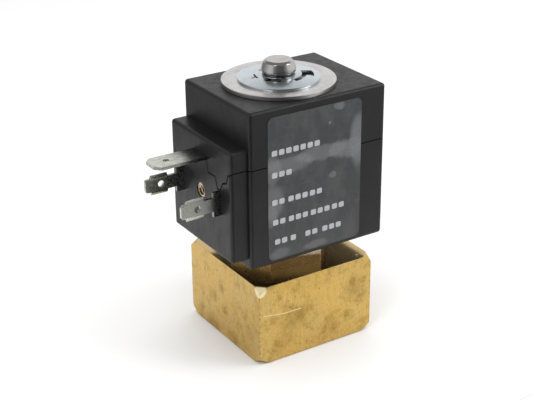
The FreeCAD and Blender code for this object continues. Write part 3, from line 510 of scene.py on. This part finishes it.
def make_label():
    """The label's film: a fine grid pulled into its rounded outline, with real thickness."""
    bm = bmesh.new()
    grid = []
    for row in range(LABEL_ROWS + 1):
        line = []
        for column in range(LABEL_COLUMNS + 1):
            x = LABEL_LEFT + (LABEL_RIGHT - LABEL_LEFT) * column / LABEL_COLUMNS
            z = LABEL_FOOT + (LABEL_TOP - LABEL_FOOT) * row / LABEL_ROWS
            x, z = inside_corners(x, z)
            line.append(bm.verts.new((x * MM, label_face - film_height(x, z) * MM, z * MM)))
        grid.append(line)
    for lower, upper in zip(grid, grid[1:]):
        for a, b, c, d in zip(lower, lower[1:], upper[1:], upper):
            bm.faces.new((a, b, c, d))
    bmesh.ops.recalc_face_normals(bm, faces=bm.faces)
    if bm.faces[0].normal.y > 0:
        bmesh.ops.reverse_faces(bm, faces=bm.faces)
    border = [edge for edge in bm.edges if edge.is_boundary]
    made = bmesh.ops.extrude_edge_only(bm, edges=border)["geom"]
    for vert in (item for item in made if isinstance(item, bmesh.types.BMVert)):
        vert.co.y = label_face
    rim = [edge for edge in bm.edges if edge.is_boundary]
    bmesh.ops.contextual_create(bm, geom=rim)
    for face in bm.faces:
        face.smooth = True
    for edge in bm.edges:
        edge.smooth = len(edge.link_faces) == 2 and edge.calc_face_angle() < LABEL_CREASE
    mesh = mesh_from(bm, "rating_label_film")
    film = new_piece("rating_label_film", mesh, "label_film", COIL)
    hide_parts("rating_label")


def inside_corners(x, z):
    """Moves a point of the rectangle's grid onto or inside its corner arcs."""
    centre_x = min(max(x, LABEL_LEFT + LABEL_CORNER), LABEL_RIGHT - LABEL_CORNER)
    centre_z = min(max(z, LABEL_FOOT + LABEL_CORNER), LABEL_TOP - LABEL_CORNER)
    out_x, out_z = x - centre_x, z - centre_z
    square = max(abs(out_x), abs(out_z))
    reach = math.hypot(out_x, out_z)
    if reach == 0:
        return x, z
    return centre_x + out_x * square / reach, centre_z + out_z * square / reach


# Rows of plain blocks in place of print: middle height, then where each run of blocks starts and how
# many blocks it has.
PRINT_ROWS = [(52.4, [(-11.4, 7)]), (47.1, [(-11.4, 3)]), (40.4, [(-11.4, 2), (-7.0, 3), (-1.1, 2)]),
              (35.4, [(-11.2, 2), (-6.9, 3), (-0.8, 3), (5.2, 2)]),
              (30.4, [(-10.7, 2), (-6.4, 1), (-2.3, 2), (2.5, 3)])]
INK_WIDTH, INK_HEIGHT, INK_PITCH, INK_CORNER = 1.45, 1.35, 1.92, 0.3
INK_STEPS, INK_LEVELS = 16, 8


def make_print():
    """Rounded blocks of ink that follow the film's surface."""
    bm = bmesh.new()
    for middle, runs in PRINT_ROWS:
        for start, count in runs:
            for place in range(count):
                ink_block(bm, start + place * INK_PITCH, middle)
    for face in bm.faces:
        face.smooth = True
    new_piece("label_print", mesh_from(bm, "label_print"), "label_ink", COIL)


def ink_block(bm, left, middle):
    """One block with round corners: a strip of columns, each as tall as the outline there."""
    columns = []
    for step in range(INK_STEPS + 1):
        x = left + INK_WIDTH * step / INK_STEPS
        inward = max(0.0, INK_CORNER - min(x - left, left + INK_WIDTH - x))
        half = INK_HEIGHT / 2 - INK_CORNER + math.sqrt(max(0.0, INK_CORNER ** 2 - inward ** 2))
        columns.append([(x, middle + half * (2 * level / INK_LEVELS - 1))
                        for level in range(INK_LEVELS + 1)])
    top, bottom = (
        [[bm.verts.new((x * MM, label_face - (film_height(x, z) + proud) * MM, z * MM))
          for x, z in column] for column in columns]
        for proud in (INK_THICKNESS, -INK_THICKNESS))
    for lines, backwards in ((top, False), (bottom, True)):
        for first, second in zip(lines, lines[1:]):
            for corners in zip(first, second, second[1:], first[1:]):
                bm.faces.new(corners[::-1] if backwards else corners)
    upper, lower = outline_of(top), outline_of(bottom)
    for index in range(len(upper)):
        after = (index + 1) % len(upper)
        bm.faces.new((upper[after], upper[index], lower[index], lower[after]))


def outline_of(lines):
    """The border of a grid of points, in order round it."""
    return ([line[0] for line in lines] + lines[-1][1:] + [line[-1] for line in reversed(lines[:-1])]
            + lines[0][-2:0:-1])


def tube_along(bm, points, radius, sides):
    """A closed tube round a run of points, with flat ends."""
    rings = []
    for index, point in enumerate(points):
        before, after = points[max(index - 1, 0)], points[min(index + 1, len(points) - 1)]
        ahead = (after - before).normalized()
        out = Vector((point.x, point.y, 0)).normalized()
        out = (out - ahead * out.dot(ahead)).normalized()
        side = ahead.cross(out)
        rings.append([bm.verts.new(point + (out * math.cos(angle) + side * math.sin(angle)) * radius)
                      for angle in (2 * math.pi * k / sides for k in range(sides))])
    skin(bm, rings)


SPRING_WIRE = 0.3  # radius
SPRING_TURNS, CLOSED_TURNS = 7.0, 1.0
SPRING_STEPS = 48
WIRE_SIDES = 10


def make_spring():
    """A compression spring with closed ends, standing between the plunger's bore and the core."""
    low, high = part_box("return_spring")
    wire = SPRING_WIRE * MM
    radius = (high.x - low.x) / 2 - wire
    foot, head = low.z + wire, high.z - wire
    free_turns = SPRING_TURNS - 2 * CLOSED_TURNS
    points = []
    for step in range(int(SPRING_TURNS * SPRING_STEPS) + 1):
        turn = step / SPRING_STEPS
        closing = min(turn, CLOSED_TURNS) * 2 * wire / CLOSED_TURNS
        opening = max(0.0, turn - (SPRING_TURNS - CLOSED_TURNS)) * 2 * wire / CLOSED_TURNS
        free = min(max(turn - CLOSED_TURNS, 0.0), free_turns) / free_turns
        rise = closing + opening + free * (head - foot - 4 * wire)
        angle = 2 * math.pi * turn
        points.append(Vector((radius * math.cos(angle), radius * math.sin(angle), foot + rise)))
    bm = bmesh.new()
    tube_along(bm, points, wire, WIRE_SIDES)
    for face in bm.faces:
        face.smooth = len(face.verts) == 4
    spring = new_piece("return_spring_wire", mesh_from(bm, "return_spring_wire"), "steel", BASE)
    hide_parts("return_spring")
    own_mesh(spring)


# The insert's thread, in millimetres: bore, pitch, and its crest's outline along and out from the bore.
THREAD_BORE, THREAD_PITCH = 1.25, 0.5
THREAD_SECTION = [(-0.2, 0.02), (-0.04, -0.2), (0.04, -0.2), (0.2, 0.02)]
THREAD_STEPS = 28


def make_insert_thread():
    """The thread's crest inside the brass insert, as a ridge that winds along its bore."""
    low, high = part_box("connector_screw_insert")
    pitch = THREAD_PITCH * MM
    turns = (high.x - low.x) / pitch - 1.2
    centre_y, centre_z = (low.y + high.y) / 2, (low.z + high.z) / 2
    bm = bmesh.new()
    rings = []
    for step in range(int(turns * THREAD_STEPS) + 1):
        angle = 2 * math.pi * step / THREAD_STEPS
        x = low.x + pitch * (0.6 + step / THREAD_STEPS)
        ring = []
        for shift, out in THREAD_SECTION:
            radius = (THREAD_BORE + out) * MM
            ring.append(bm.verts.new((x + shift * MM, centre_y + radius * math.cos(angle),
                                      centre_z + radius * math.sin(angle))))
        rings.append(ring)
    skin(bm, rings)
    bmesh.ops.recalc_face_normals(bm, faces=bm.faces)
    new_piece("insert_thread", mesh_from(bm, "insert_thread"), "brass_turned", COIL)


# ---- pieces -------------------------------------------------------------------------------------
# The CAD nodes whose edges are rounded: how far, in how many steps, and from what turn in degrees.
REFINED = {
    "valve_body": dict(width=0.16, segments=3, limit=22),
    "hex_collar": dict(width=0.12, limit=20),
    "coil_washer": dict(width=0.10, segments=3),
    "retaining_clip": dict(width=0.09, segments=2, limit=24),
    "fixed_core": dict(width=0.07, segments=2, limit=20),
    "terminal_line": dict(width=0.10),
    "terminal_neutral": dict(width=0.10),
    "terminal_earth": dict(width=0.14, segments=3),
    "connector_screw_insert": dict(width=0.10),
    "coil_housing_lower": dict(width=0.06, segments=2),
    "coil_housing_upper": dict(width=0.06, segments=2),
}
slots = {row["node"]: row["material_slot"] for row in frame["record"]["subparts"]}
bodies = {node: body for body, nodes in frame["record"]["behaviour"]["bodies"].items() for node in nodes}
for node, settings in REFINED.items():
    refined(node, slots[node], bodies[node], slots[node], **settings)
make_label()
make_print()
make_spring()
make_insert_thread()
for node, piece in frame["nodes"].items():
    piece.data.materials.clear()
    piece.data.materials.append(looks[slots[node]])


# ---- stage --------------------------------------------------------------------------------------
# The floors in metres: outline, level, and whether reflections show it. Only the sheet under the
# valve shows in them, so that the brass mirrors a white floor and the parts above mirror a dim room.
FLOORS = {
    "floor": ([(-3, -3), (3, -3), (3, 3), (-3, 3)], -0.0004, False),
    "floor_sheet": ([(-0.110, -0.060), (0.105, -0.060), (0.105, 0.110), (-0.110, 0.110)], -0.0002, True),
}
# The room round the valve, by heading in degrees from +X towards +Y: brightness below and above
# the horizon.
ROOM = [(-180, 1.00, 0.90), (-165, 0.80, 0.80), (-150, 0.18, 0.30), (-128, 0.08, 0.15),
        (-90, 0.08, 0.15), (-70, 0.20, 0.40), (-55, 0.60, 0.90), (-20, 1.00, 1.05),
        (20, 0.90, 1.00), (45, 0.50, 1.00), (75, 0.38, 1.00), (95, 0.32, 0.60),
        (118, 0.32, 0.32), (150, 0.60, 0.60), (165, 0.90, 0.85), (180, 1.00, 0.90)]
BELOW, ABOVE = 1, 2
CEILING = (0.3, 0.3, 0.3, 1)
# Each lamp's place and aim in metres, the side of its square, its watts, and whether it shows in
# reflections.
LAMPS = {
    "overhead": ((0, 0.05, 0.8), (0, 0, 0.03), 0.9, 5.4, False),
    "front_fill": ((-0.34, -0.52, 0.42), (0, 0, 0.0), 0.7, 1.6, False),
    "left_softbox": ((-0.45, -0.24, 0.50), (0, 0, 0.03), 0.20, 0.5, True),
    "right_softbox": ((0.45, -0.34, 0.50), (0, 0, 0.05), 0.30, 1.2, True),
}
CAMERA_PLACE = (-0.148146, -0.2288, 0.157146)
CAMERA_AZIMUTH = math.radians(-32.297)
CAMERA_ELEVATION = math.radians(24.502)
CAMERA_ROLL = math.radians(-0.586)
CAMERA_LENS, CAMERA_SENSOR = 83.56, 36


def make_floor():
    """The pale floor, in two sheets."""
    look = Look("floor", Roughness=0.9)
    look.set("Base Color", look.blend(look.noise(0.02, 2), (0.90, 0.90, 0.90), (0.88, 0.88, 0.88)))
    for name, (outline, level, in_reflections) in FLOORS.items():
        bm = bmesh.new()
        bm.faces.new([bm.verts.new((x, y, level)) for x, y in outline])
        mesh = mesh_from(bm, name)
        mesh.materials.append(look.material)
        piece = bpy.data.objects.new(name, mesh)
        bpy.context.scene.collection.objects.link(piece)
        piece.visible_glossy = in_reflections


def make_lamp(name, place, aim, size, power, in_reflections):
    data = bpy.data.lights.new(name, "AREA")
    data.energy = power
    data.size = size
    lamp = bpy.data.objects.new(name, data)
    bpy.context.scene.collection.objects.link(lamp)
    lamp.location = place
    lamp.visible_glossy = in_reflections
    lamp.rotation_euler = (Vector(aim) - Vector(place)).to_track_quat("-Z", "Y").to_euler()


def room_ramp(tree, share, level):
    """The room's brightness by heading, for the part of it below or above the horizon."""
    ramp = add_node(tree, "ValToRGB", {0: share})
    ramp.color_ramp.interpolation = "EASE"
    stops = ramp.color_ramp.elements
    while len(stops) < len(ROOM):
        stops.new(0.5)
    for stop, row in zip(stops, ROOM):
        stop.position = (row[0] + 180) / 360
        stop.color = (row[level], row[level], row[level], 1)
    return ramp.outputs[0]


def make_world():
    """White walls at the sides and behind, dim ones on the viewer's side, and a dim ceiling."""
    world = bpy.data.worlds.new("studio")
    bpy.context.scene.world = world
    world.use_nodes = True
    tree = world.node_tree

    def rise(value, low, high):
        return add_node(tree, "MapRange", {"Value": value, "From Min": low, "From Max": high},
                        interpolation_type="SMOOTHSTEP").outputs[0]

    def mix(share, first, second):
        return add_node(tree, "Mix", {0: share, 6: first, 7: second}, data_type="RGBA").outputs[2]

    direction = add_node(tree, "TexCoord").outputs["Generated"]
    x, y, up = add_node(tree, "SeparateXYZ", {0: direction}).outputs
    heading = add_node(tree, "Math", {0: y, 1: x}, operation="ARCTAN2").outputs[0]
    whole_turn = {"Value": heading, "From Min": -math.pi, "From Max": math.pi}
    share = add_node(tree, "MapRange", whole_turn).outputs[0]
    walls = mix(rise(up, -0.15, 0.15), room_ramp(tree, share, BELOW), room_ramp(tree, share, ABOVE))
    room = mix(rise(up, 0.40, 0.75), walls, CEILING)
    tree.links.new(room, tree.nodes["Background"].inputs["Color"])
    tree.nodes["Background"].inputs["Strength"].default_value = 1.0


def make_camera():
    """The camera at its place, turned by its azimuth, elevation and roll."""
    flat = math.cos(CAMERA_ELEVATION)
    back = Vector((math.sin(CAMERA_AZIMUTH) * flat, -math.cos(CAMERA_AZIMUTH) * flat,
                   math.sin(CAMERA_ELEVATION)))
    level = Vector((math.cos(CAMERA_AZIMUTH), math.sin(CAMERA_AZIMUTH), 0))
    upright = back.cross(level)
    right = math.cos(CAMERA_ROLL) * level + math.sin(CAMERA_ROLL) * upright
    up = -math.sin(CAMERA_ROLL) * level + math.cos(CAMERA_ROLL) * upright
    data = bpy.data.cameras.new("camera")
    data.sensor_width, data.lens = CAMERA_SENSOR, CAMERA_LENS
    data.clip_start, data.clip_end = 0.01, 20
    camera = bpy.data.objects.new("camera", data)
    bpy.context.scene.collection.objects.link(camera)
    turn = Matrix((right, up, back)).transposed().to_4x4()
    camera.matrix_world = Matrix.Translation(CAMERA_PLACE) @ turn
    bpy.context.scene.camera = camera


make_floor()
make_world()
for name, settings in LAMPS.items():
    make_lamp(name, *settings)
make_camera()
bpy.context.scene.view_settings.view_transform = "Standard"
